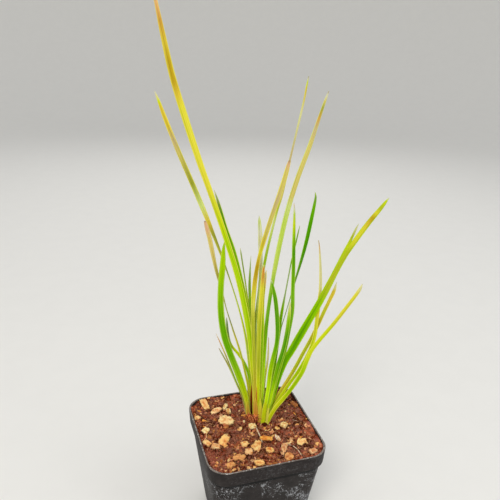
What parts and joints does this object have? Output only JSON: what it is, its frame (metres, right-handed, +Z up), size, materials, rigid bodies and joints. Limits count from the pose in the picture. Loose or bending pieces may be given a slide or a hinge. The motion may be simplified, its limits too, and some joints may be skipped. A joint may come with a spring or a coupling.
{
  "type": "potted yellow-eyed grass",
  "caption": "Young grass-like plant with fans of narrow flat leaves, standing in a square black plastic nursery pot of soil with bark chips.",
  "frame": {"origin": "middle of the pot's flat underside", "axes": "+Z up along the pot's middle; X and Y along the pot's sides; the leaf fans face about 18 degrees from -Y towards -X"},
  "size_m": [0.113, 0.0838, 0.313],
  "materials": {
    "pot_plastic": "black plastic, dusty below the collar, its rim worn pale",
    "soil": "dark reddish-brown peat and bark fines, moist and crumbly",
    "crown": "orange-brown leaf sheaths and fibres",
    "green_leaf": "fresh green blade with fine lengthwise veins and paler margins, satin",
    "yellow_leaf": "yellow-green blade with fine lengthwise veins and paler margins, satin",
    "dead_leaf": "tan to ochre dried blade with lengthwise stripes, dull",
    "bark": "golden to cream bark and wood chips, rough and porous"
  },
  "bodies": {
    "root": {"pot": "pot_plastic", "soil": "soil", "crown": "crown", "leaf_left_1": "green_leaf", "leaf_left_2": "dead_leaf", "leaf_left_3": "dead_leaf", "leaf_left_4": "dead_leaf", "leaf_left_5": "yellow_leaf", "leaf_middle_1": "yellow_leaf", "leaf_middle_2": "yellow_leaf", "leaf_middle_3": "green_leaf", "leaf_middle_4": "green_leaf", "leaf_middle_5": "green_leaf", "leaf_middle_6": "yellow_leaf", "leaf_middle_7": "dead_leaf", "leaf_middle_8": "dead_leaf", "leaf_middle_9": "yellow_leaf", "leaf_middle_10": "dead_leaf", "leaf_right_1": "yellow_leaf", "leaf_right_2": "dead_leaf", "leaf_right_3": "green_leaf", "leaf_right_4": "green_leaf", "leaf_right_5": "green_leaf", "leaf_right_6": "green_leaf", "leaf_right_7": "green_leaf", "leaf_right_8": "green_leaf", "leaf_right_9": "green_leaf", "leaf_right_10": "dead_leaf", "leaf_right_11": "dead_leaf", "leaf_right_12": "yellow_leaf", "bark_chip_01": "bark", "bark_chip_02": "bark", "bark_chip_03": "bark", "bark_chip_04": "bark", "bark_chip_05": "bark", "bark_chip_06": "bark", "bark_chip_07": "bark", "bark_chip_08": "bark", "bark_chip_09": "bark", "bark_chip_10": "bark", "bark_chip_11": "bark", "bark_chip_12": "bark", "bark_chip_13": "bark", "bark_chip_14": "bark", "bark_chip_15": "bark", "bark_chip_16": "bark", "bark_chip_17": "bark", "bark_chip_18": "bark", "bark_chip_19": "bark", "bark_chip_20": "bark", "bark_chip_21": "bark", "bark_chip_22": "bark", "bark_chip_23": "bark", "bark_chip_24": "bark", "bark_chip_25": "bark", "bark_chip_26": "bark"}
  },
  "joints": []
}
